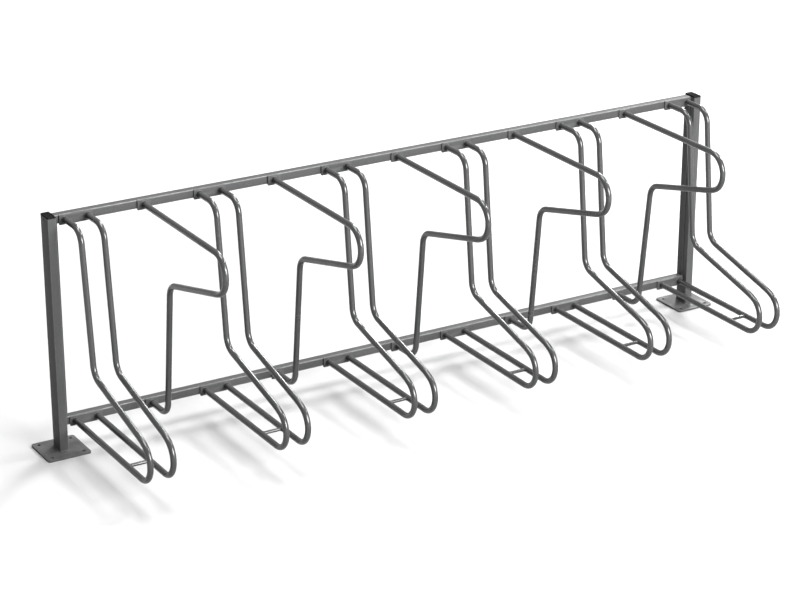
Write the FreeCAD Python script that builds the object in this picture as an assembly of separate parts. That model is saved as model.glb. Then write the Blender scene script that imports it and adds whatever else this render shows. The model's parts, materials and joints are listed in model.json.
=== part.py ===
import FreeCAD, Part
import math
import os

from FreeCAD import Vector

# Floor bicycle rack for six wheels, in millimetres. +Z is up, X runs along the rack and wheels roll
# in from the front, which is -Y. The origin is on the floor, in the middle of the rack's overall
# length and depth. The places below have y = 0 at the posts' axes instead, and saving a node shifts
# it back by ORIGIN_TO_POSTS.

# ---- Driving dimensions ----

LENGTH = 2165.0          # over the outer faces of the two posts
PITCH = 400.0            # from one wheel place to the next
WHEEL_PLACES = 6
ROW_SHIFT = 6.6          # the row of wheel places sits this far right of the rack's middle

POST_WIDTH = 25.0        # along X
POST_DEPTH = 50.0        # along Y
POST_TOP = 687.0
SECTION_WALL = 2.0       # wall of the posts and of the rails
SECTION_RADIUS = 3.0     # outer corner radius of the posts and of the rails

PLATE_SIDE = 128.0
PLATE_THICKNESS = 6.0
PLATE_RADIUS = 8.0
ANCHOR_SPACING = 94.0    # floor bolt holes, the same along X and Y
ANCHOR_HOLE = 11.0       # diameter

CAP_FLANGE = 4.0         # height of the cap above the post
CAP_EDGE = 1.2           # rounding of the cap's upper edge
CAP_RIM = 3.0            # width of the raised rim
CAP_RECESS = 0.8         # depth of the panel inside the rim
CAP_PLUG = 7.0           # depth of the plug inside the post

RAIL_SIDE = 25.0
RAIL_SETBACK = 21.5      # from the posts' front faces to the rails' front faces
TOP_RAIL_Z = POST_TOP - RAIL_SIDE / 2
BOTTOM_RAIL_Z = 84.0

END_BAR_THICKNESS = 3.0
LEFT_END_BAR_GAP = 7.5   # from the left post to the left end bar; the right bar touches its post

TUBE_DIAMETER = 17.2
TUBE_WALL = 2.0
TUBE_BELOW_RAIL_AXIS = 1.0
WHEEL_TUBE_SPACING = 66.4  # between the axes of a hoop's two tubes
TUBE_REACH = 495.0       # from the posts' axes to the tube axis at its nose
FIRST_BEND_Y = -70.6     # where the first bend starts
LEG_LEAN = 6.3           # the leg leans forward by this angle from the vertical
DIAGONAL_DIP = 14.0      # the diagonal dips by this angle from the horizontal
BEND_RADIUS = 45.0       # at the top and at the knee
NOSE_LEAD_RADIUS = 132.0
NOSE_LEAD_ANGLE = 13.5   # the gentle first part of the nose
NOSE_RADIUS = 56.6

CROSSBAR_DIAMETER = 10.0
CROSSBAR_Y = -349.0

BRACKET_THICKNESS = 5.0
BRACKET_HEIGHT = 28.0
BRACKET_BELOW_RAIL_AXIS = 2.0
HOOP_BRACKET_WIDTH = 97.0
ARM_BRACKET_WIDTH = 38.0
BRACKET_CORNER = 1.5

# M8 button-head bolts hold the rails to the posts, and M6 ones the brackets to the rails.
M8 = {"shank": 8.0, "length": 40.0, "head_width": 14.0, "head": 4.4, "socket": 5.0, "depth": 2.6}
M6 = {"shank": 6.0, "length": 35.0, "head_width": 10.5, "head": 3.3, "socket": 4.0, "depth": 2.1}
M8_CLEARANCE = 9.0
M6_CLEARANCE = 6.6
END_PLUG_LENGTH = 15.0   # tapped plug in each end of each rail

# ---- Places worked out from the dimensions ----

POST_X = LENGTH / 2 - POST_WIDTH / 2
INNER_FACE_X = LENGTH / 2 - POST_WIDTH
RAIL_FRONT_Y = -POST_DEPTH / 2 + RAIL_SETBACK
RAIL_Y = RAIL_FRONT_Y + RAIL_SIDE / 2
RAIL_BACK_Y = RAIL_FRONT_Y + RAIL_SIDE
BRACKET_FRONT_Y = RAIL_FRONT_Y - BRACKET_THICKNESS
TOP_TUBE_Z = TOP_RAIL_Z - TUBE_BELOW_RAIL_AXIS
BOTTOM_TUBE_Z = BOTTOM_RAIL_Z - TUBE_BELOW_RAIL_AXIS
SIDES = {"left": -1, "right": 1}
RAIL_HEIGHTS = {"top": TOP_RAIL_Z, "bottom": BOTTOM_RAIL_Z}
TUBE_HEIGHTS = {"top": TOP_TUBE_Z, "bottom": BOTTOM_TUBE_Z}
HOOP_XS = [ROW_SHIFT + PITCH * (i - (WHEEL_PLACES - 1) / 2) for i in range(WHEEL_PLACES)]
ARM_XS = [x + PITCH / 2 for x in HOOP_XS[:-1]]
HOOP_TUBE_OFFSETS = [-WHEEL_TUBE_SPACING / 2, WHEEL_TUBE_SPACING / 2]
ORIGIN_TO_POSTS = (TUBE_REACH + TUBE_DIAMETER / 2 - PLATE_SIDE / 2) / 2


# ---- Helpers ----

def save(name, *solids):
    """Writes one node: a single solid, or a group of separate solids."""
    shape = solids[0] if len(solids) == 1 else Part.makeCompound(list(solids))
    for solid in shape.Solids:
        assert solid.isValid() and solid.Volume > 0, name
    moved(shape, y=ORIGIN_TO_POSTS).exportStep(os.path.join("parts", name + ".step"))


def moved(shape, x=0.0, y=0.0, z=0.0):
    """A copy of the shape, shifted."""
    copy = shape.copy()
    copy.translate(Vector(x, y, z))
    return copy


def turned(shape, axis, angle):
    """A copy of the shape, turned about an axis through the origin."""
    copy = shape.copy()
    copy.rotate(Vector(0, 0, 0), axis, angle)
    return copy


def rounded_bar(width, depth, length, radius):
    """Bar up from z = 0, centred on the Z axis, with its four upright edges rounded."""
    bar = Part.makeBox(width, depth, length, Vector(-width / 2, -depth / 2, 0))
    upright = [edge for edge in bar.Edges if abs(edge.Vertexes[0].Z - edge.Vertexes[-1].Z) > length / 2]
    return bar.makeFillet(radius, upright)


def box_section(width, depth, length):
    """Hollow rectangular tube up from z = 0."""
    outer = rounded_bar(width, depth, length, SECTION_RADIUS)
    bore = rounded_bar(
        width - 2 * SECTION_WALL, depth - 2 * SECTION_WALL, length, SECTION_RADIUS - SECTION_WALL)
    return outer.cut(bore)


def button_head_bolt(size):
    """Bolt with its shank up from z = 0 and a domed head with a hexagon socket below."""
    head = size["head"]
    dome_radius = ((size["head_width"] / 2) ** 2 + head ** 2) / (2 * head)
    sphere = Part.makeSphere(dome_radius, Vector(0, 0, dome_radius - head))
    dome = sphere.common(Part.makeCylinder(size["head_width"], head, Vector(0, 0, -head)))
    corner = Vector(size["socket"] / 2 / math.cos(math.pi / 6), 0, -head)
    corners = [FreeCAD.Rotation(Vector(0, 0, 1), 60 * k).multVec(corner) for k in range(7)]
    socket = Part.Face(Part.makePolygon(corners)).extrude(Vector(0, 0, size["depth"]))
    return dome.cut(socket).fuse(Part.makeCylinder(size["shank"] / 2, size["length"]))


# ---- Posts, plates and caps ----

def post(side):
    """Upright between its base plate and its cap, drilled across for the two rail bolts."""
    upright = moved(box_section(POST_WIDTH, POST_DEPTH, POST_TOP - PLATE_THICKNESS), z=PLATE_THICKNESS)
    for z in RAIL_HEIGHTS.values():
        start = Vector(-POST_WIDTH, RAIL_Y, z)
        upright = upright.cut(Part.makeCylinder(M8_CLEARANCE / 2, 2 * POST_WIDTH, start, Vector(1, 0, 0)))
    return moved(upright, x=side * POST_X)


def base_plate(side):
    """Square foot centred under the post, with a floor bolt hole near each corner."""
    plate = rounded_bar(PLATE_SIDE, PLATE_SIDE, PLATE_THICKNESS, PLATE_RADIUS)
    for hole_x in (-ANCHOR_SPACING / 2, ANCHOR_SPACING / 2):
        for hole_y in (-ANCHOR_SPACING / 2, ANCHOR_SPACING / 2):
            plate = plate.cut(Part.makeCylinder(ANCHOR_HOLE / 2, PLATE_THICKNESS, Vector(hole_x, hole_y, 0)))
    return moved(plate, x=side * POST_X)


def post_cap(side):
    """Moulded cap: a rounded flange on the post, a sunk panel inside a rim, and a plug in the bore."""
    flange = rounded_bar(POST_WIDTH, POST_DEPTH, CAP_FLANGE, SECTION_RADIUS)
    upper = [edge for edge in flange.Edges if edge.BoundBox.ZMin > CAP_FLANGE - 0.01]
    flange = flange.makeFillet(CAP_EDGE, upper)
    panel = rounded_bar(POST_WIDTH - 2 * CAP_RIM, POST_DEPTH - 2 * CAP_RIM, CAP_RECESS, 1.0)
    flange = flange.cut(moved(panel, z=CAP_FLANGE - CAP_RECESS))
    plug = rounded_bar(
        POST_WIDTH - 2 * SECTION_WALL, POST_DEPTH - 2 * SECTION_WALL, CAP_PLUG,
        SECTION_RADIUS - SECTION_WALL)
    cap = flange.fuse(moved(plug, z=-CAP_PLUG)).removeSplitter()
    return moved(cap, x=side * POST_X, z=POST_TOP)


# ---- Rails and end bars ----

def rail(name):
    """Square tube from post to post, drilled through for the bolt behind each tube end."""
    tube = turned(box_section(RAIL_SIDE, RAIL_SIDE, 2 * INNER_FACE_X), Vector(0, 1, 0), 90)
    tube = moved(tube, x=-INNER_FACE_X, y=RAIL_Y, z=RAIL_HEIGHTS[name])
    holes = []
    for x in tube_end_xs():
        start = Vector(x, RAIL_FRONT_Y - 1, TUBE_HEIGHTS[name])
        holes.append(Part.makeCylinder(M6_CLEARANCE / 2, RAIL_SIDE + 2, start, Vector(0, 1, 0)))
    return tube.cut(Part.makeCompound(holes))


def tube_end_xs():
    """Where the bent tubes meet the rails, which is the same on both rails."""
    hoop_ends = [x + offset for x in HOOP_XS for offset in HOOP_TUBE_OFFSETS]
    return sorted(hoop_ends + ARM_XS)


def rail_end_plug(side, z):
    """Tapped block inside the end of a rail, which takes the bolt through the post."""
    bore = RAIL_SIDE - 2 * SECTION_WALL
    block = rounded_bar(bore, bore, END_PLUG_LENGTH, SECTION_RADIUS - SECTION_WALL)
    block = block.cut(Part.makeCylinder(M8["shank"] / 2, END_PLUG_LENGTH))
    block = turned(block, Vector(0, 1, 0), 90 * side)
    return moved(block, x=side * (INNER_FACE_X - END_PLUG_LENGTH), y=RAIL_Y, z=z)


def end_bar(side):
    """Flat upright bar between the rails, close to its post."""
    gap = LEFT_END_BAR_GAP if side < 0 else 0.0
    outer_x = side * (INNER_FACE_X - gap)
    bottom = BOTTOM_RAIL_Z + RAIL_SIDE / 2
    height = TOP_RAIL_Z - RAIL_SIDE / 2 - bottom
    start = Vector(min(outer_x, outer_x - side * END_BAR_THICKNESS), RAIL_FRONT_Y, bottom)
    return Part.makeBox(END_BAR_THICKNESS, RAIL_SIDE, height, start)


# ---- Bent tubes ----

def heading_vector(heading):
    """Direction of a run that goes forward and dips by the heading, in degrees."""
    angle = math.radians(heading)
    return Vector(0, -math.cos(angle), -math.sin(angle))


def bend_shift(radius, start, end):
    """How far forward and how far down a bend goes between two headings."""
    low = math.radians(start)
    high = math.radians(end)
    way = radius if end > start else -radius
    return way * (math.sin(high) - math.sin(low)), way * (math.cos(low) - math.cos(high))


def hoop_steps():
    """Straight runs (length) and bends (radius, new heading) of the tube, from the top rail down.

    The lengths of the leg and of the diagonal follow from the tube's reach and drop.
    """
    leg = 90 - LEG_LEAN
    lead = DIAGONAL_DIP + NOSE_LEAD_ANGLE
    top_run = BRACKET_FRONT_Y - FIRST_BEND_Y
    bends = [(BEND_RADIUS, 0, leg), (BEND_RADIUS, leg, DIAGONAL_DIP), (NOSE_LEAD_RADIUS, DIAGONAL_DIP, lead)]
    shifts = [bend_shift(*bend) for bend in bends]
    forward = TUBE_REACH + FIRST_BEND_Y - sum(shift[0] for shift in shifts)
    forward -= bend_shift(NOSE_RADIUS, lead, 90)[0]
    drop = TOP_TUBE_Z - BOTTOM_TUBE_Z - sum(shift[1] for shift in shifts)
    drop -= bend_shift(NOSE_RADIUS, lead, 180)[1]
    leg_way = heading_vector(leg)
    diagonal_way = heading_vector(DIAGONAL_DIP)
    cross = leg_way.y * diagonal_way.z - leg_way.z * diagonal_way.y
    leg_length = (-forward * diagonal_way.z + drop * diagonal_way.y) / cross
    diagonal_length = (-drop * leg_way.y + forward * leg_way.z) / cross
    bottom_run = TUBE_REACH - NOSE_RADIUS + BRACKET_FRONT_Y
    return [
        (top_run,), (BEND_RADIUS, leg),
        (leg_length,), (BEND_RADIUS, DIAGONAL_DIP),
        (diagonal_length,), (NOSE_LEAD_RADIUS, lead), (NOSE_RADIUS, 180),
        (bottom_run,)]


def swept_round(diameter):
    """Round bar along the tube's axis at x = 0, as one solid."""
    point = Vector(0, BRACKET_FRONT_Y, TOP_TUBE_Z)
    heading = 0
    pieces = []
    for step in hoop_steps():
        way = heading_vector(heading)
        section = Part.Face(Part.Wire(Part.makeCircle(diameter / 2, point, way)))
        if len(step) == 1:
            pieces.append(section.extrude(way * step[0]))
            point = point + way * step[0]
        else:
            radius, new_heading = step
            turn = new_heading - heading
            towards_centre = heading_vector(heading + math.copysign(90, turn))
            centre = point + towards_centre * radius
            pieces.append(section.revolve(centre, Vector(math.copysign(1, turn), 0, 0), abs(turn)))
            heading = new_heading
            point = centre - heading_vector(heading + math.copysign(90, turn)) * radius
    return pieces[0].multiFuse(pieces[1:])


def hoop_tube():
    """Bent round tube at x = 0 that carries one side of a wheel, open at both ends."""
    return swept_round(TUBE_DIAMETER).cut(swept_round(TUBE_DIAMETER - 2 * TUBE_WALL))


def arm_tube(tube):
    """The same bent tube turned upside down, with its long run at the top rail."""
    return tube.mirror(Vector(0, 0, (TOP_TUBE_Z + BOTTOM_TUBE_Z) / 2), Vector(0, 0, 1))


def crossbar(x):
    """Round rod between a hoop's two lower runs, with its ends shaped to the tubes."""
    start = Vector(x - WHEEL_TUBE_SPACING / 2, CROSSBAR_Y, BOTTOM_TUBE_Z)
    rod = Part.makeCylinder(CROSSBAR_DIAMETER / 2, WHEEL_TUBE_SPACING, start, Vector(1, 0, 0))
    for offset in HOOP_TUBE_OFFSETS:
        foot = Vector(x + offset, CROSSBAR_Y - TUBE_DIAMETER, BOTTOM_TUBE_Z)
        rod = rod.cut(Part.makeCylinder(TUBE_DIAMETER / 2, 2 * TUBE_DIAMETER, foot, Vector(0, 1, 0)))
    return rod


# ---- Brackets and bolts ----

def bracket(x, rail_z, width, tube_offsets):
    """Plate on the front of a rail that closes one or two tube ends, tapped on each tube's axis."""
    plate = rounded_bar(width, BRACKET_HEIGHT, BRACKET_THICKNESS, BRACKET_CORNER)
    hole_height = BRACKET_BELOW_RAIL_AXIS - TUBE_BELOW_RAIL_AXIS
    for offset in tube_offsets:
        foot = Vector(offset, hole_height, 0)
        plate = plate.cut(Part.makeCylinder(M6["shank"] / 2, BRACKET_THICKNESS, foot))
    plate = turned(plate, Vector(1, 0, 0), 90)
    return moved(plate, x=x, y=RAIL_FRONT_Y, z=rail_z - BRACKET_BELOW_RAIL_AXIS)


def frame_bolt(side, z):
    """Bolt through a post into the plug in a rail's end."""
    bolt = turned(button_head_bolt(M8), Vector(0, 1, 0), -90 * side)
    return moved(bolt, x=side * LENGTH / 2, y=RAIL_Y, z=z)


def bracket_bolt(x, z):
    """Bolt from behind through a rail and a bracket, with its tip inside the tube."""
    bolt = turned(button_head_bolt(M6), Vector(1, 0, 0), 90)
    return moved(bolt, x=x, y=RAIL_BACK_Y, z=z)


# ---- Nodes ----

os.makedirs("parts", exist_ok=True)

for side_name, side in SIDES.items():
    save("post_" + side_name, post(side))
    save("base_plate_" + side_name, base_plate(side))
    save("post_cap_" + side_name, post_cap(side))
    save("end_bar_" + side_name, end_bar(side))

for rail_name in RAIL_HEIGHTS:
    save(rail_name + "_rail", rail(rail_name))

TUBE = hoop_tube()
for number, hoop_x in enumerate(HOOP_XS, start=1):
    for side_name, side in SIDES.items():
        tube_name = "hoop_{}_tube_{}".format(number, side_name)
        save(tube_name, moved(TUBE, x=hoop_x + side * WHEEL_TUBE_SPACING / 2))
    save("hoop_{}_crossbar".format(number), crossbar(hoop_x))
    for rail_name, rail_z in RAIL_HEIGHTS.items():
        plate_name = "hoop_{}_bracket_{}".format(number, rail_name)
        save(plate_name, bracket(hoop_x, rail_z, HOOP_BRACKET_WIDTH, HOOP_TUBE_OFFSETS))

ARM = arm_tube(TUBE)
for number, arm_x in enumerate(ARM_XS, start=1):
    save("arm_{}_tube".format(number), moved(ARM, x=arm_x))
    for rail_name, rail_z in RAIL_HEIGHTS.items():
        plate_name = "arm_{}_bracket_{}".format(number, rail_name)
        save(plate_name, bracket(arm_x, rail_z, ARM_BRACKET_WIDTH, [0.0]))

RAIL_ENDS = [(side, z) for side in SIDES.values() for z in RAIL_HEIGHTS.values()]
save("rail_end_plugs", *[rail_end_plug(side, z) for side, z in RAIL_ENDS])
save("frame_bolts", *[frame_bolt(side, z) for side, z in RAIL_ENDS])
for rail_name, tube_z in TUBE_HEIGHTS.items():
    save("bracket_bolts_" + rail_name, *[bracket_bolt(x, tube_z) for x in tube_end_xs()])
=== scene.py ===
import json
import math
import random

import bmesh
import bpy
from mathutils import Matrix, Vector


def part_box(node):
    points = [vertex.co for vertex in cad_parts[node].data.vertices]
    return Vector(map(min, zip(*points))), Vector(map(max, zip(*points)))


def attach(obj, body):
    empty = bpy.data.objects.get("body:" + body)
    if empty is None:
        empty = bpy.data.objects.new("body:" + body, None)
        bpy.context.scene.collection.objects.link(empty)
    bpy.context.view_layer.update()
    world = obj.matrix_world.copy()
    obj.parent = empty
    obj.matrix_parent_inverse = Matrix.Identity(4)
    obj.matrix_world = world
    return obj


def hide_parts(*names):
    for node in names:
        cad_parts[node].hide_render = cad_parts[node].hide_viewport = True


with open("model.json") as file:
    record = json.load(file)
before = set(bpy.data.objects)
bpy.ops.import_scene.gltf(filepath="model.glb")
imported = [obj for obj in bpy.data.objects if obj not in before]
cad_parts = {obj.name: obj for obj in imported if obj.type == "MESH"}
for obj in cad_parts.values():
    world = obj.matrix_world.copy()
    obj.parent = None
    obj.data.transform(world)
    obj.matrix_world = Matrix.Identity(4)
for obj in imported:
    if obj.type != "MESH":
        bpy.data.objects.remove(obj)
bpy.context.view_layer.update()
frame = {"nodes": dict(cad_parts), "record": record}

# Looks of the floor bicycle rack. Metres, in the CAD model's own frame: +Z up, the wheels roll in
# from -Y. Posts, rails and bent tubes are redrawn with smooth round surfaces, plates, end bars, caps
# and brackets get broken edges, and every welded joint gets its seam.

MM = 0.001
SIDES = ("left", "right")
RAILS = ("top", "bottom")
HOOPS = range(1, 7)
ARMS = range(1, 6)
POST_AXIS = 2             # the posts stand along Z
RAIL_AXIS = 0             # the rails lie along X

# Stock sections.
SECTION_WALL = 2.0 * MM
SECTION_RADIUS = 3.0 * MM
CORNER_STEPS = 6          # facets round the edge of a post or a rail
TUBE_RADIUS = 8.6 * MM
TUBE_WALL = 2.0 * MM
CROSSBAR_RADIUS = 5.0 * MM

# The bent tube's axis, from the top rail down: straight runs, and bends with their radius and the
# heading they end at, in degrees below straight forward. The leg and the diagonal fit the tube's box.
TOP_RUN = 62.1 * MM
LEG_HEADING = 83.7
DIAGONAL_HEADING = 14.0
NOSE_LEAD_HEADING = 27.5
BACKWARD = 180.0
BEND_RADIUS = 45.0 * MM
NOSE_LEAD_RADIUS = 132.0 * MM
NOSE_RADIUS = 56.6 * MM
TUBE_SIDES = 32
DEGREES_PER_RING = 4.0
RING_BY_BEND = 3.0 * MM   # an extra ring this far from each end of a straight run

# Broken edges of the flat pieces, and their meshes' clean-up before the edges are rounded.
PLATE_EDGE = 0.7 * MM
END_BAR_EDGE = 0.5 * MM
CAP_EDGE = 0.3 * MM
BRACKET_EDGE = 0.6 * MM
EDGE_SEGMENTS = 2
EDGE_PROFILE = 0.6
EDGE_ANGLE = 40           # degrees from which an edge counts as sharp
DOUBLES_DISTANCE = 2e-6
FLAT_ANGLE = 0.5          # degrees below which neighbouring facets are one face
EDGE_LAYER = "edge"       # vertex attribute, 1 along the middle of a rounded edge

# Edges sharper than these angles, in degrees, stay crisp under smooth shading.
CRISP_ROUND = 35
CRISP_FLAT = 38
CRISP_BEAD = 80

# Weld seams.
BEAD_SIDES = 8
BEAD_RIPPLE = 0.16        # share of the bead's radius
BEAD_RIPPLE_STEP = 2.1    # radians from one ring to the next
BEAD_JITTER = 0.07
BEAD_STAND_OFF = 0.2 * MM
TUBE_BEAD = 1.5 * MM
TUBE_BEAD_RINGS = 36
TUBE_BEAD_LEAD = 0.4 * MM  # the seam's middle lies this far in front of the bracket
POST_BEAD = 2.0 * MM
POST_BEAD_PITCH = 2.0 * MM
POST_BEAD_LIFT = 0.3 * MM
POST_BEAD_CORNER_STEPS = 3
CROSSBAR_BEAD = 1.2 * MM
CROSSBAR_BEAD_RINGS = 28
END_BAR_BEAD = 1.3 * MM
END_BAR_BEAD_RUNS = 12
END_BAR_BEAD_INSET = 3.0 * MM

# Powder coat. Noise scales are in repeats per metre.
FLAKE_SCALE = 1500.0
PEEL_SCALE = 520.0
CLOUD_SCALE = 9.0
DUST_SCALE = 55.0
# Scale of the patches of the painted edge highlight.
EDGE_HIGHLIGHT_SCALE = 60.0
SPARKLE = ((0.34, 0.70), (0.52, 0.98), (0.62, 1.15), (0.72, 1.9))  # noise level, share of the shade
CLOUD_DARK = 0.95         # shares of the shade
CLOUD_LIGHT = 1.04
DUST_LIGHTNESS = 1.5
# Lightness of the painted highlight along the rounded edges, as a share of the shade.
EDGE_HIGHLIGHT_LIGHTNESS = 3.0
DUST_COVER = 0.10
LEAST_EDGE_HIGHLIGHT = 0.45         # share of the painted edge highlight where the noise is low
ROUGHNESS_SPREAD = 0.02
FILM_ROUGHNESS = 0.15
PEEL_DEPTH = 0.12 * MM
PEEL_STRENGTH = 0.55
FLAKE_DEPTH = 0.05 * MM
FLAKE_STRENGTH = 0.50

# Moulded plastic of the caps.
CAP_GRAIN_SCALE = 1900.0
CAP_GRAIN_DEPTH = 0.05 * MM
CAP_DUST_SCALE = 160.0
CAP_BLACK = 0.0075
CAP_DUSTY = 0.020
CAP_FILM = 0.06

# Floor and surroundings.
FLOOR_SIZE = 60.0
FLOOR_COLOUR = 0.54       # what camera and mirror rays see
FLOOR_BOUNCE = 0.20       # what diffuse light meets
FLOOR_GLOW = 0.06         # glow beside the rack
GLOW_START = 1.3          # distances from the origin between which the glow rises to white
GLOW_FULL = 4.5
WORLD_FILL = 0.21
WHITE = 1.0

# Soft boxes: name, place, target, size, watts.
SOFT_BOXES = (
    ("overhead", (0.2, 0.3, 6.0), (0.0, 0.0, 0.0), (2.6, 2.6), 270),
    ("front_right", (1.1, -5.1, 2.6), (0.0, 0.0, 0.3), (3.0, 2.6), 570),
    ("right", (7.6, -0.8, 6.2), (0.0, 0.0, 0.3), (1.3, 1.3), 420),
    ("back_right", (7.4, 6.4, 6.8), (0.0, 0.0, 0.3), (2.6, 2.6), 1150),
)

# Camera, fitted to the photograph's view of the rack.
CAMERA_PLACE = (-3.410, -5.556, 2.917)
CAMERA_YAW = 30.71        # degrees to the right of +Y
CAMERA_PITCH = 21.85      # degrees below the horizon
CAMERA_FOCAL_PX = 2457.0  # focal length over the width of one pixel
IMAGE_WIDTH_PX = 800
SENSOR_WIDTH = 36.0
CLIP_END = 200

random.seed(7)


# ---- Node helpers ----

def new_material(name):
    """Material with an empty tree. Returns it with its nodes and a function that links sockets."""
    material = bpy.data.materials.new(name)
    material.use_nodes = True
    tree = material.node_tree
    tree.nodes.clear()
    return material, tree.nodes, tree.links.new


def object_space(nodes, link, scale=(1.0, 1.0, 1.0)):
    """Object coordinates in metres, stretched by the scale."""
    place = nodes.new("ShaderNodeTexCoord")
    mapping = nodes.new("ShaderNodeMapping")
    mapping.inputs["Scale"].default_value = scale
    link(place.outputs["Object"], mapping.inputs["Vector"])
    return mapping.outputs["Vector"]


def noise(nodes, link, vector, scale, detail=3.0, roughness=0.55):
    """Fractal noise value on the given coordinates."""
    texture = nodes.new("ShaderNodeTexNoise")
    texture.inputs["Scale"].default_value = scale
    texture.inputs["Detail"].default_value = detail
    texture.inputs["Roughness"].default_value = roughness
    link(vector, texture.inputs["Vector"])
    return texture.outputs["Fac"]


def ramp(nodes, link, value, stops):
    """Colour ramp with (position, colour) stops."""
    node = nodes.new("ShaderNodeValToRGB")
    elements = node.color_ramp.elements
    while len(elements) < len(stops):
        elements.new(0.5)
    for element, (position, colour) in zip(elements, stops):
        element.position = position
        element.color = (*colour, 1.0)
    link(value, node.inputs["Fac"])
    return node.outputs["Color"]


def mapped(nodes, link, value, low, high, to_low, to_high):
    """Value mapped from one range to another, clamped."""
    node = nodes.new("ShaderNodeMapRange")
    for socket, number in zip(("From Min", "From Max", "To Min", "To Max"), (low, high, to_low, to_high)):
        node.inputs[socket].default_value = number
    link(value, node.inputs["Value"])
    return node.outputs["Result"]


def mixed(nodes, link, factor, first, second, blend="MIX"):
    """Colour mix. The factor is a number or a socket, and the second input a colour or a socket."""
    node = nodes.new("ShaderNodeMix")
    node.data_type = "RGBA"
    node.blend_type = blend
    if isinstance(factor, float):
        node.inputs["Factor"].default_value = factor
    else:
        link(factor, node.inputs["Factor"])
    link(first, node.inputs["A"])
    if isinstance(second, tuple):
        node.inputs["B"].default_value = (*second, 1.0)
    else:
        link(second, node.inputs["B"])
    return node.outputs["Result"]


def combined(nodes, link, operation, first, second):
    """Two values put together by a math operation."""
    node = nodes.new("ShaderNodeMath")
    node.operation = operation
    link(first, node.inputs[0])
    link(second, node.inputs[1])
    return node.outputs["Value"]


def bump(nodes, link, height, strength, distance, normal=None):
    """Bump of the given distance in metres, on top of another normal where one is given."""
    node = nodes.new("ShaderNodeBump")
    node.inputs["Strength"].default_value = strength
    node.inputs["Distance"].default_value = distance
    link(height, node.inputs["Height"])
    if normal is not None:
        link(normal, node.inputs["Normal"])
    return node.outputs["Normal"]


def surface(nodes, link, shader, kind="ShaderNodeOutputMaterial"):
    """Output node that shows the shader."""
    output = nodes.new(kind)
    link(shader.outputs[0], output.inputs["Surface"])


def chosen(nodes, link, factor, first, second):
    """Shader mix of two shader nodes."""
    node = nodes.new("ShaderNodeMixShader")
    link(factor, node.inputs[0])
    link(first.outputs[0], node.inputs[1])
    link(second.outputs[0], node.inputs[2])
    return node


def diffuse(nodes, value):
    """Plain diffuse shader of a grey value."""
    node = nodes.new("ShaderNodeBsdfDiffuse")
    node.inputs["Color"].default_value = (*grey(value), 1.0)
    return node


def directly_seen(nodes, link):
    """1 for camera rays and for the mirror and glass rays that show the same surroundings."""
    path = nodes.new("ShaderNodeLightPath")
    seen = path.outputs["Is Camera Ray"]
    for kind in ("Is Glossy Ray", "Is Transmission Ray"):
        seen = combined(nodes, link, "MAXIMUM", seen, path.outputs[kind])
    return seen


def grey(value, warmth=0.0):
    """Neutral grey, a little warmer or cooler."""
    return (value * (1 + warmth), value, value * (1 - warmth))


# ---- Materials ----

def principled(nodes, link, colour, gloss, normal, metallic, clear_film, film_roughness):
    """Principled shader without base specular: the gloss comes from the metal share and the film."""
    shader = nodes.new("ShaderNodeBsdfPrincipled")
    shader.inputs["Metallic"].default_value = metallic
    shader.inputs["Specular IOR Level"].default_value = 0.0
    shader.inputs["Coat Weight"].default_value = clear_film
    shader.inputs["Coat Roughness"].default_value = film_roughness
    link(colour, shader.inputs["Base Color"])
    link(gloss, shader.inputs["Roughness"])
    link(normal, shader.inputs["Normal"])
    surface(nodes, link, shader)


def painted_edge_highlight(nodes, link, vector, amount):
    """Painted highlight along the rounded edges: the edge attribute, broken into patches by noise."""
    painted = nodes.new("ShaderNodeAttribute")
    painted.attribute_name = EDGE_LAYER
    patches = noise(nodes, link, vector, EDGE_HIGHLIGHT_SCALE, detail=5.0, roughness=0.65)
    highlight_strength = mapped(nodes, link, patches, 0.35, 0.62, LEAST_EDGE_HIGHLIGHT * amount, amount)
    return combined(nodes, link, "MULTIPLY", painted.outputs["Fac"], highlight_strength)


def metallic_coat(name, shade, metallic, roughness, clear_film, cloud_stretch=(1.0, 1.0, 1.0), edge_highlight=0.0,
                  texture=1.0):
    """Grey metallic powder coat: flakes, soft clouds, orange-peel, scattered dust and a painted highlight
    along the rounded edges.
    """
    material, nodes, link = new_material(name)
    fine = object_space(nodes, link)
    stretched = object_space(nodes, link, cloud_stretch)
    flakes = noise(nodes, link, fine, FLAKE_SCALE, detail=2.0, roughness=0.7)
    clouds = noise(nodes, link, stretched, CLOUD_SCALE, detail=5.0, roughness=0.62)
    peel = noise(nodes, link, fine, PEEL_SCALE, detail=3.0)
    dust = noise(nodes, link, fine, DUST_SCALE, detail=6.0, roughness=0.7)

    cloud_stops = ((0.30, grey(shade * CLOUD_DARK, -0.012)), (0.70, grey(shade * CLOUD_LIGHT, -0.006)))
    base = ramp(nodes, link, clouds, cloud_stops)
    sparkle = ramp(nodes, link, flakes, [(level, grey(share)) for level, share in SPARKLE])
    coat = mixed(nodes, link, 1.0, base, sparkle, "MULTIPLY")
    dusty = mapped(nodes, link, dust, 0.60, 0.80, 0.0, DUST_COVER)
    colour = mixed(nodes, link, dusty, coat, grey(shade * DUST_LIGHTNESS, 0.03))
    # Painted highlight: the rounded edges are lightened in patches.
    if edge_highlight:
        edge_highlight_mask = painted_edge_highlight(nodes, link, fine, edge_highlight)
        colour = mixed(nodes, link, edge_highlight_mask, colour, grey(shade * EDGE_HIGHLIGHT_LIGHTNESS))

    gloss = mapped(nodes, link, clouds, 0.3, 0.7, roughness - ROUGHNESS_SPREAD, roughness + ROUGHNESS_SPREAD)
    peeled = bump(nodes, link, peel, PEEL_STRENGTH, PEEL_DEPTH * texture)
    grained = bump(nodes, link, flakes, FLAKE_STRENGTH, FLAKE_DEPTH * texture, peeled)
    principled(nodes, link, colour, gloss, grained, metallic, clear_film, FILM_ROUGHNESS)
    return material


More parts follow.
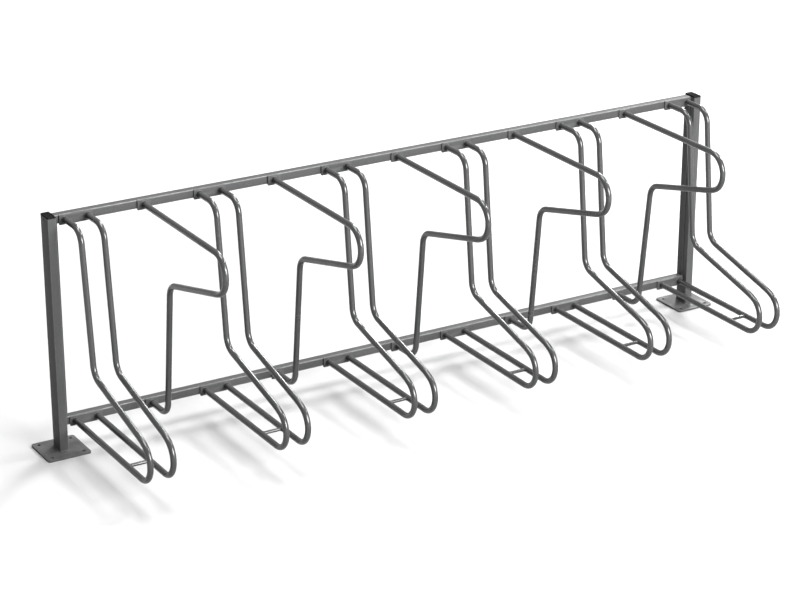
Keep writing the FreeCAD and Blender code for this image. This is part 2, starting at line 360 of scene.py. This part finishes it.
def moulded_plastic(name):
    """Black moulded cap plastic with a fine spark-eroded grain and a little dust."""
    material, nodes, link = new_material(name)
    fine = object_space(nodes, link)
    grain = noise(nodes, link, fine, CAP_GRAIN_SCALE, detail=2.0)
    dust = noise(nodes, link, fine, CAP_DUST_SCALE, detail=5.0, roughness=0.7)
    colour = ramp(nodes, link, dust, ((0.45, grey(CAP_BLACK)), (0.75, grey(CAP_DUSTY, 0.02))))
    gloss = mapped(nodes, link, grain, 0.3, 0.7, 0.42, 0.58)
    normal = bump(nodes, link, grain, 0.5, CAP_GRAIN_DEPTH)
    principled(nodes, link, colour, gloss, normal, 0.0, CAP_FILM, 0.30)
    return material


# The powder coat's numbers: shade, metallic share, roughness and clear film. Posts, plates, rails and
# brackets also get a painted highlight along their rounded edges.
COATS = {
    "post": metallic_coat("coat_post", 0.120, 0.22, 0.44, 0.04, (3.0, 3.0, 0.6), edge_highlight=0.25),
    # The plates' coat is the same grey painted lighter: painted light on the base plates, standing in for
    # lamp light on their tops.
    "plate": metallic_coat("coat_plate", 0.132, 0.22, 0.46, 0.04, edge_highlight=0.5),
    "rail": metallic_coat("coat_rail", 0.104, 0.22, 0.44, 0.04, (0.6, 3.0, 3.0), edge_highlight=0.7),
    "tube": metallic_coat("coat_tube", 0.090, 0.68, 0.26, 0.20, texture=0.25),
    "bracket": metallic_coat("coat_bracket", 0.118, 0.25, 0.42, 0.04, edge_highlight=0.7),
    "bolt": metallic_coat("coat_bolt", 0.150, 0.40, 0.32, 0.10, texture=0.5),
    "plug": metallic_coat("coat_plug", 0.110, 0.20, 0.45, 0.05),
    "cap": moulded_plastic("cap_plastic"),
}


# ---- Geometry helpers ----

def piece_from(bm, name, slot, crisp_angle, replaced=None):
    """Turns a bmesh into a smooth piece that rides on the rack and shows the slot's material."""
    mesh = bpy.data.meshes.new(name)
    bmesh.ops.recalc_face_normals(bm, faces=bm.faces[:])
    bm.to_mesh(mesh)
    bm.free()
    piece = bpy.data.objects.new(name, mesh)
    bpy.context.scene.collection.objects.link(piece)
    mesh.materials.append(COATS[slot])
    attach(piece, "root")
    if replaced:
        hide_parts(replaced)
    smooth_below(mesh, crisp_angle)


def smooth_below(mesh, degrees):
    """Smooth shading, with edges sharper than the angle kept crisp."""
    mesh.shade_smooth()
    bm = bmesh.new()
    bm.from_mesh(mesh)
    for edge in bm.edges:
        edge.smooth = len(edge.link_faces) == 2 and edge.calc_face_angle(0.0) < math.radians(degrees)
    bm.to_mesh(mesh)
    bm.free()


def join_rings(bm, first, second):
    """Faces between two closed rings of equally many points."""
    for k in range(len(first)):
        n = (k + 1) % len(first)
        bm.faces.new((first[k], first[n], second[n], second[k]))


def rounded_outline(half_u, half_v, radius, steps):
    """Points round a rounded rectangle."""
    points = []
    corners = ((1, 1, 0), (-1, 1, 90), (-1, -1, 180), (1, -1, 270))
    for sign_u, sign_v, start in corners:
        for k in range(steps + 1):
            angle = math.radians(start + 90 * k / steps)
            u = sign_u * (half_u - radius) + radius * math.cos(angle)
            v = sign_v * (half_v - radius) + radius * math.sin(angle)
            points.append((u, v))
    return points


def section_tube(node, slot, axis):
    """Hollow section with finely rounded edges, over the box of a straight CAD section."""
    low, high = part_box(node)
    middle = (low + high) / 2
    size = high - low
    across = [k for k in range(3) if k != axis]
    rings = []
    bm = bmesh.new()
    edge_layer = bm.verts.layers.float.new(EDGE_LAYER)
    for inset, radius in ((0.0, SECTION_RADIUS), (SECTION_WALL, SECTION_RADIUS - SECTION_WALL)):
        half_u = size[across[0]] / 2 - inset
        half_v = size[across[1]] / 2 - inset
        outline = rounded_outline(half_u, half_v, radius, CORNER_STEPS)
        for end in (low[axis], high[axis]):
            ring = []
            for k, (u, v) in enumerate(outline):
                point = Vector(middle)
                point[across[0]] += u
                point[across[1]] += v
                point[axis] = end
                vert = bm.verts.new(point)
                vert[edge_layer] = math.sin(math.pi * (k % (CORNER_STEPS + 1)) / CORNER_STEPS)
                ring.append(vert)
            rings.append(ring)
    outer_start, outer_end, inner_start, inner_end = rings
    join_rings(bm, outer_start, outer_end)
    join_rings(bm, inner_start, inner_end)
    join_rings(bm, outer_start, inner_start)
    join_rings(bm, outer_end, inner_end)
    piece_from(bm, node + "_section", slot, CRISP_ROUND, node)


def broken_edges(node, slot, width):
    """Copy of a CAD node with its sharp edges rounded off by the width."""
    bm = bmesh.new()
    bm.from_mesh(frame["nodes"][node].data)
    bmesh.ops.remove_doubles(bm, verts=bm.verts[:], dist=DOUBLES_DISTANCE)
    bmesh.ops.dissolve_limit(
        bm, angle_limit=math.radians(FLAT_ANGLE), verts=bm.verts[:], edges=bm.edges[:])
    sharp = [edge for edge in bm.edges if edge.calc_face_angle(0.0) > math.radians(EDGE_ANGLE)]
    rounded = bmesh.ops.bevel(
        bm, geom=sharp, offset=width, segments=EDGE_SEGMENTS, profile=EDGE_PROFILE, affect="EDGES",
        clamp_overlap=True)
    new_faces = set(rounded["faces"])
    edge_layer = bm.verts.layers.float.new(EDGE_LAYER)
    for vert in bm.verts:
        vert[edge_layer] = 1.0 if new_faces.issuperset(vert.link_faces) else 0.0
    piece_from(bm, node + "_finished", slot, CRISP_FLAT, node)


# ---- Bent tubes ----

def heading_vector(heading):
    """Direction of a run that goes forward and dips by the heading, in degrees."""
    angle = math.radians(heading)
    return Vector((0, -math.cos(angle), -math.sin(angle)))


def straight_lengths(forward, drop):
    """Lengths of the leg and the diagonal, for the tube axis's whole reach and drop."""
    bends = ((BEND_RADIUS, 0, LEG_HEADING), (BEND_RADIUS, LEG_HEADING, DIAGONAL_HEADING),
             (NOSE_LEAD_RADIUS, DIAGONAL_HEADING, NOSE_LEAD_HEADING))
    forward -= TOP_RUN + NOSE_RADIUS * (1 - math.sin(math.radians(NOSE_LEAD_HEADING)))
    drop -= NOSE_RADIUS * (1 + math.cos(math.radians(NOSE_LEAD_HEADING)))
    for radius, start, end in bends:
        way = math.copysign(radius, end - start)
        forward -= way * (math.sin(math.radians(end)) - math.sin(math.radians(start)))
        drop -= way * (math.cos(math.radians(start)) - math.cos(math.radians(end)))
    leg = heading_vector(LEG_HEADING)
    diagonal = heading_vector(DIAGONAL_HEADING)
    cross = leg.y * diagonal.z - leg.z * diagonal.y
    leg_length = (-forward * diagonal.z + drop * diagonal.y) / cross
    diagonal_length = (-drop * leg.y + forward * leg.z) / cross
    return leg_length, diagonal_length


def tube_stations(forward, drop):
    """Points and headings along the tube's axis, with its start at the origin."""
    leg_length, diagonal_length = straight_lengths(forward, drop)
    steps = ((TOP_RUN,), (BEND_RADIUS, LEG_HEADING), (leg_length,), (BEND_RADIUS, DIAGONAL_HEADING),
             (diagonal_length,), (NOSE_LEAD_RADIUS, NOSE_LEAD_HEADING), (NOSE_RADIUS, BACKWARD),
             (forward - NOSE_RADIUS,))
    point = Vector((0, 0, 0))
    heading = 0.0
    stations = [(point, heading)]
    for step in steps:
        if len(step) == 1:
            way = heading_vector(heading)
            for length in (RING_BY_BEND, step[0] - RING_BY_BEND, step[0]):
                stations.append((point + way * length, heading))
        else:
            radius, new_heading = step
            turn = new_heading - heading
            centre = point + heading_vector(heading + math.copysign(90, turn)) * radius
            count = round(abs(turn) / DEGREES_PER_RING)
            for k in range(1, count + 1):
                now = heading + turn * k / count
                place = centre - heading_vector(now + math.copysign(90, turn)) * radius
                stations.append((place, now))
            heading = new_heading
        point = stations[-1][0]
    return stations


def bent_tube(node, upside_down):
    """Smooth hollow tube over the box of a bent CAD tube, open where it meets its brackets."""
    low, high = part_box(node)
    x = (low.x + high.x) / 2
    stations = tube_stations(high.y - low.y - TUBE_RADIUS, high.z - low.z - 2 * TUBE_RADIUS)
    bm = bmesh.new()
    ends = []
    for radius in (TUBE_RADIUS, TUBE_RADIUS - TUBE_WALL):
        rings = []
        for point, heading in stations:
            across = heading_vector(heading - 90)
            ring = []
            for k in range(TUBE_SIDES):
                angle = 2 * math.pi * k / TUBE_SIDES
                spot = point + (Vector((1, 0, 0)) * math.cos(angle) + across * math.sin(angle)) * radius
                z = low.z + TUBE_RADIUS - spot.z if upside_down else high.z - TUBE_RADIUS + spot.z
                ring.append(bm.verts.new((x + spot.x, high.y + spot.y, z)))
            rings.append(ring)
        for first, second in zip(rings, rings[1:]):
            join_rings(bm, first, second)
        ends += [rings[0], rings[-1]]
    outer_start, outer_end, inner_start, inner_end = ends
    join_rings(bm, outer_start, inner_start)
    join_rings(bm, outer_end, inner_end)
    piece_from(bm, node + "_bent", "tube", CRISP_ROUND, node)


# ---- Pieces over the CAD nodes ----

def hoop_tube_names():
    return ["hoop_{}_tube_{}".format(number, side) for number in HOOPS for side in SIDES]


def arm_tube_names():
    return ["arm_{}_tube".format(number) for number in ARMS]


def dress_sections():
    for side in SIDES:
        section_tube("post_" + side, "post", POST_AXIS)
    for rail in RAILS:
        section_tube(rail + "_rail", "rail", RAIL_AXIS)


def dress_tubes():
    for tube in hoop_tube_names():
        bent_tube(tube, False)
    for tube in arm_tube_names():
        bent_tube(tube, True)


def dress_plates():
    for side in SIDES:
        broken_edges("base_plate_" + side, "plate", PLATE_EDGE)
        broken_edges("end_bar_" + side, "rail", END_BAR_EDGE)
        broken_edges("post_cap_" + side, "cap", CAP_EDGE)
    for kind, numbers in (("hoop", HOOPS), ("arm", ARMS)):
        for number in numbers:
            for rail in RAILS:
                broken_edges("{}_{}_bracket_{}".format(kind, number, rail), "bracket", BRACKET_EDGE)


def coat_nodes():
    """Every CAD node gets its slot's material."""
    slots = {part["node"]: part["material_slot"] for part in frame["record"]["subparts"]}
    for name, node in frame["nodes"].items():
        node.data.materials.clear()
        node.data.materials.append(COATS[slots[name]])


# ---- Weld seams ----

def bead(name, path, normals, radius, closed=True, slot="bracket"):
    """Weld seam: a rippled half-buried cord along a path, raised towards the given normals."""
    bm = bmesh.new()
    rings = []
    count = len(path)
    for k, (point, out) in enumerate(zip(path, normals)):
        ahead = path[(k + 1) % count] if closed or k < count - 1 else point
        behind = path[k - 1] if closed or k > 0 else point
        along = (ahead - behind).normalized()
        across = along.cross(out).normalized()
        ripple = BEAD_RIPPLE * math.sin(k * BEAD_RIPPLE_STEP)
        swell = radius * (1.0 + ripple + random.uniform(-BEAD_JITTER, BEAD_JITTER))
        ring = []
        for s in range(BEAD_SIDES):
            angle = 2 * math.pi * s / BEAD_SIDES
            offset = across * math.cos(angle) + out * math.sin(angle)
            ring.append(bm.verts.new(point + offset * swell))
        rings.append(ring)
    for first, second in zip(rings, rings[1:]):
        join_rings(bm, first, second)
    if closed:
        join_rings(bm, rings[-1], rings[0])
    else:
        bm.faces.new(rings[0])
        bm.faces.new(rings[-1])
    piece_from(bm, name, slot, CRISP_BEAD)


def ring_weld(name, centre, direction, ring_radius, bead_radius):
    """Weld round a tube where it meets a flat face at the centre, square to the direction."""
    up = Vector((0, 0, 1))
    across = direction.cross(up).normalized()
    path = []
    normals = []
    for k in range(TUBE_BEAD_RINGS):
        angle = 2 * math.pi * k / TUBE_BEAD_RINGS
        out = across * math.cos(angle) + up * math.sin(angle)
        path.append(centre + out * ring_radius)
        normals.append((out + direction).normalized())
    bead(name, path, normals, bead_radius)


def weld_tube_ends():
    """Seams where the bent tubes meet their brackets."""
    forward = Vector((0, -1, 0))
    for tube in hoop_tube_names() + arm_tube_names():
        low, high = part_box(tube)
        for rail, z in (("top", high.z - TUBE_RADIUS), ("bottom", low.z + TUBE_RADIUS)):
            centre = Vector(((low.x + high.x) / 2, high.y - TUBE_BEAD_LEAD, z))
            name = "weld_{}_{}".format(tube, rail)
            ring_weld(name, centre, forward, TUBE_RADIUS + BEAD_STAND_OFF, TUBE_BEAD)


def weld_posts():
    """Seams where the posts stand on their base plates."""
    up = Vector((0, 0, 1))
    for side in SIDES:
        low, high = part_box("post_" + side)
        middle = (low + high) / 2
        half_u = (high.x - low.x) / 2 + BEAD_STAND_OFF
        half_v = (high.y - low.y) / 2 + BEAD_STAND_OFF
        outline = rounded_outline(half_u, half_v, SECTION_RADIUS, POST_BEAD_CORNER_STEPS)
        dense = []
        for (u0, v0), (u1, v1) in zip(outline, outline[1:] + outline[:1]):
            parts = max(1, int(math.hypot(u1 - u0, v1 - v0) / POST_BEAD_PITCH))
            dense += [(u0 + (u1 - u0) * k / parts, v0 + (v1 - v0) * k / parts) for k in range(parts)]
        path = [Vector((middle.x + u, middle.y + v, low.z + POST_BEAD_LIFT)) for u, v in dense]
        normals = [(Vector((u, v, 0)).normalized() + up).normalized() for u, v in dense]
        bead("weld_post_" + side, path, normals, POST_BEAD, slot="plate")


def weld_crossbars():
    """Seams where the crossbars meet the tubes of their hoops."""
    for number in HOOPS:
        low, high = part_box("hoop_{}_crossbar".format(number))
        middle = (low + high) / 2
        for side, sign in (("left", -1), ("right", 1)):
            tube_low, tube_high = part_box("hoop_{}_tube_{}".format(number, side))
            tube_x = (tube_low.x + tube_high.x) / 2
            path = []
            normals = []
            for k in range(CROSSBAR_BEAD_RINGS):
                angle = 2 * math.pi * k / CROSSBAR_BEAD_RINGS
                rise = CROSSBAR_RADIUS * math.sin(angle)
                run = CROSSBAR_RADIUS * math.cos(angle)
                reach = math.sqrt(TUBE_RADIUS ** 2 - rise ** 2)
                path.append(Vector((tube_x - sign * reach, middle.y + run, middle.z + rise)))
                normals.append(Vector((-sign, math.cos(angle), math.sin(angle))).normalized())
            bead("weld_crossbar_{}_{}".format(number, side), path, normals, CROSSBAR_BEAD, slot="tube")


def weld_end_bars():
    """Short seams where the flat end bars meet the rails. The right bar's outer face is at its post."""
    for side in SIDES:
        low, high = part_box("end_bar_" + side)
        start = low.y + END_BAR_BEAD_INSET
        span = high.y - low.y - 2 * END_BAR_BEAD_INSET
        for end, z, away in (("bottom", low.z, 1), ("top", high.z, -1)):
            for face, x, sign in (("left", low.x, -1), ("right", high.x, 1)):
                if side == "right" and face == "right":
                    continue
                lift = Vector((sign, 0, away)).normalized()
                path = [Vector((x, start + span * k / END_BAR_BEAD_RUNS, z))
                        for k in range(END_BAR_BEAD_RUNS + 1)]
                name = "weld_end_bar_{}_{}_{}".format(side, end, face)
                bead(name, path, [lift] * len(path), END_BAR_BEAD, closed=False, slot="rail")


# ---- Floor, lights and camera ----

def make_floor():
    """White floor. Diffuse light sees grey paper; camera and mirror rays also see its glow, which
    rises to plain white away from the rack, so that only the soft shadows show."""
    bpy.ops.mesh.primitive_plane_add(size=FLOOR_SIZE, location=(0, 0, 0))
    floor = bpy.context.object
    floor.name = "floor"
    material, nodes, link = new_material("floor_paper")
    place = nodes.new("ShaderNodeTexCoord")
    reach = nodes.new("ShaderNodeVectorMath")
    reach.operation = "LENGTH"
    link(place.outputs["Object"], reach.inputs[0])
    glow = nodes.new("ShaderNodeEmission")
    rising = mapped(nodes, link, reach.outputs["Value"], GLOW_START, GLOW_FULL, FLOOR_GLOW, WHITE)
    link(rising, glow.inputs["Strength"])
    paper = nodes.new("ShaderNodeAddShader")
    link(diffuse(nodes, FLOOR_COLOUR).outputs[0], paper.inputs[0])
    link(glow.outputs[0], paper.inputs[1])
    dim = diffuse(nodes, FLOOR_BOUNCE)
    surface(nodes, link, chosen(nodes, link, directly_seen(nodes, link), dim, paper))
    floor.data.materials.append(material)


def make_world():
    """Even studio air: a plain level for lighting, white where camera and mirror rays look."""
    world = bpy.data.worlds.new("studio")
    bpy.context.scene.world = world
    world.use_nodes = True
    nodes = world.node_tree.nodes
    link = world.node_tree.links.new
    nodes.clear()
    fill = nodes.new("ShaderNodeBackground")
    fill.inputs["Strength"].default_value = WORLD_FILL
    white = nodes.new("ShaderNodeBackground")
    white.inputs["Strength"].default_value = WHITE
    air = chosen(nodes, link, directly_seen(nodes, link), fill, white)
    surface(nodes, link, air, "ShaderNodeOutputWorld")


def area_light(name, place, target, size, watts):
    """Rectangular soft light aimed at a point."""
    light = bpy.data.lights.new(name, "AREA")
    light.shape = "RECTANGLE"
    light.size, light.size_y = size
    light.energy = watts
    lamp = bpy.data.objects.new(name, light)
    bpy.context.scene.collection.objects.link(lamp)
    lamp.location = place
    lamp.rotation_euler = (Vector(target) - Vector(place)).to_track_quat("-Z", "Y").to_euler()


def make_camera():
    """Camera at the photograph's viewing angle, with no shift."""
    data = bpy.data.cameras.new("camera")
    data.sensor_width = SENSOR_WIDTH
    data.lens = CAMERA_FOCAL_PX * SENSOR_WIDTH / IMAGE_WIDTH_PX
    data.clip_end = CLIP_END
    camera = bpy.data.objects.new("camera", data)
    bpy.context.scene.collection.objects.link(camera)
    camera.location = CAMERA_PLACE
    camera.rotation_euler = (math.radians(90 - CAMERA_PITCH), 0, math.radians(-CAMERA_YAW))
    bpy.context.scene.camera = camera


dress_sections()
dress_tubes()
dress_plates()
coat_nodes()
weld_tube_ends()
weld_posts()
weld_crossbars()
weld_end_bars()
make_floor()
make_world()
for soft_box in SOFT_BOXES:
    area_light(*soft_box)
make_camera()

bpy.context.scene.view_settings.view_transform = "Standard"
